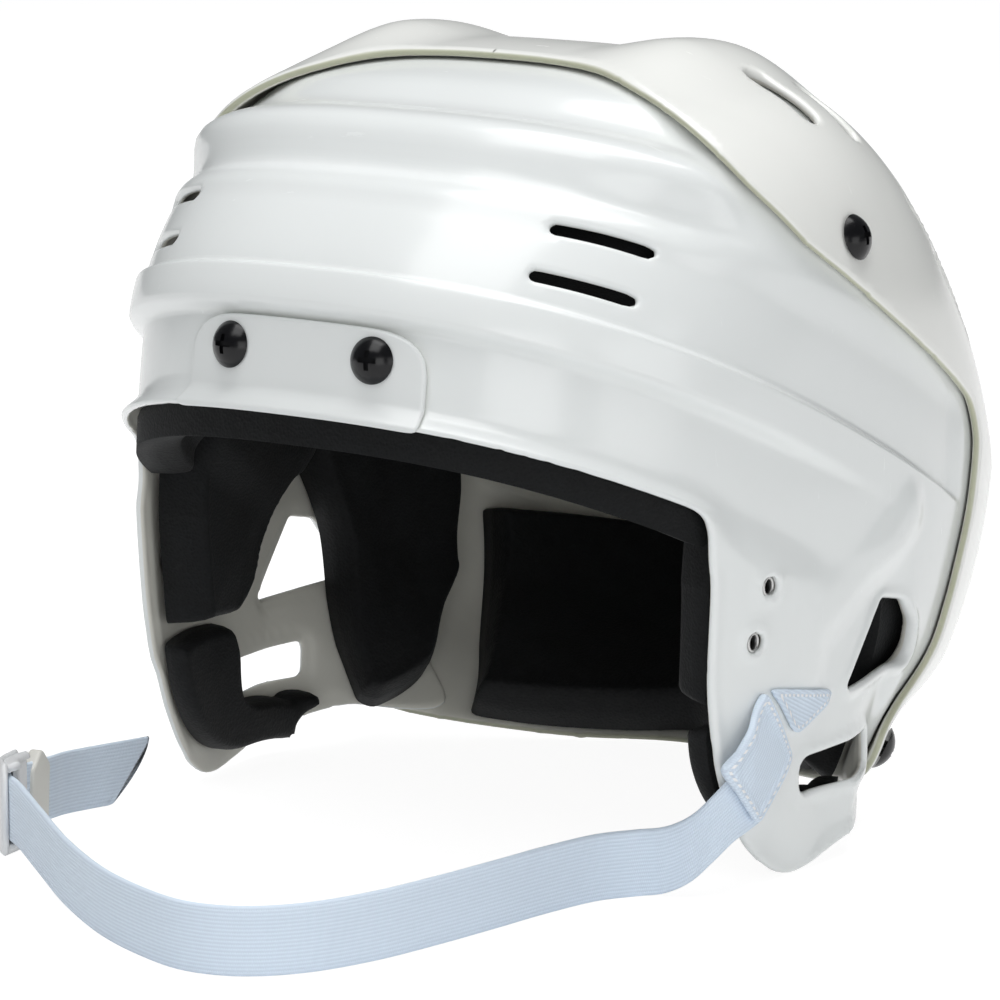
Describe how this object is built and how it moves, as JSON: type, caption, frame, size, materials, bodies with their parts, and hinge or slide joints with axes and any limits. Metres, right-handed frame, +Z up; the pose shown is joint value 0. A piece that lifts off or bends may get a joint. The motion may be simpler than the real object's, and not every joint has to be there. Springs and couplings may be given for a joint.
{
  "type": "ice hockey helmet",
  "caption": "White two-piece ice hockey helmet with brow plate, side and top vents, visor holes, ear openings, black foam lining and a webbing chin strap with hook buckle.",
  "frame": {"origin": "on the floor plane, under the middle of the head opening", "axes": "+Z up with the helmet resting on its ear lobes and nape, the face opening looks to -Y, +X is the wearer's left"},
  "size_m": [0.2208, 0.3626, 0.2286],
  "materials": {
    "shell_white": "high gloss moulded plastic",
    "screw_black": "black satin",
    "nut_steel": "zinc plated",
    "foam_black": "matt closed-cell foam",
    "webbing_white": "ribbed woven webbing",
    "buckle_white": "semi-gloss moulded plastic",
    "slider_clear": "milky semi-gloss plastic"
  },
  "bodies": {
    "shell_body": {"front_shell": "shell_white", "brow_plate": "shell_white", "brow_screws": "screw_black", "brow_nuts": "nut_steel", "visor_inserts": "nut_steel", "brow_pad": "foam_black", "temple_pad_left": "foam_black", "temple_pad_right": "foam_black", "ear_pad_left": "foam_black", "ear_pad_right": "foam_black", "side_pad_left": "foam_black", "side_pad_right": "foam_black", "front_crown_pad": "foam_black", "strap_anchor": "webbing_white"},
    "rear_body": {"rear_shell": "shell_white", "side_screws": "screw_black", "side_nuts": "nut_steel", "rear_bolts": "screw_black", "rear_nuts": "nut_steel", "rear_crown_pad": "foam_black", "nape_pad": "foam_black"},
    "strap_body": {"chin_strap": "webbing_white", "strap_buckle": "buckle_white"},
    "slider_body": {"strap_slider": "slider_clear"}
  },
  "joints": [
    {"name": "head_size_slide", "type": "slide", "parent": "shell_body", "child": "rear_body", "axis": [0, 0.9781, 0.2079], "range_m": [0, 0.006]},
    {"name": "strap_swing", "type": "hinge", "parent": "shell_body", "child": "strap_body", "pos_m": [0.103, -0.045, 0.0275], "axis": [1, 0, 0], "range_deg": [-30, 30]},
    {"name": "strap_length_slide", "type": "slide", "parent": "strap_body", "child": "slider_body", "axis": [-0.1819, 0.9797, -0.084], "range_m": [0, 0.012]}
  ]
}
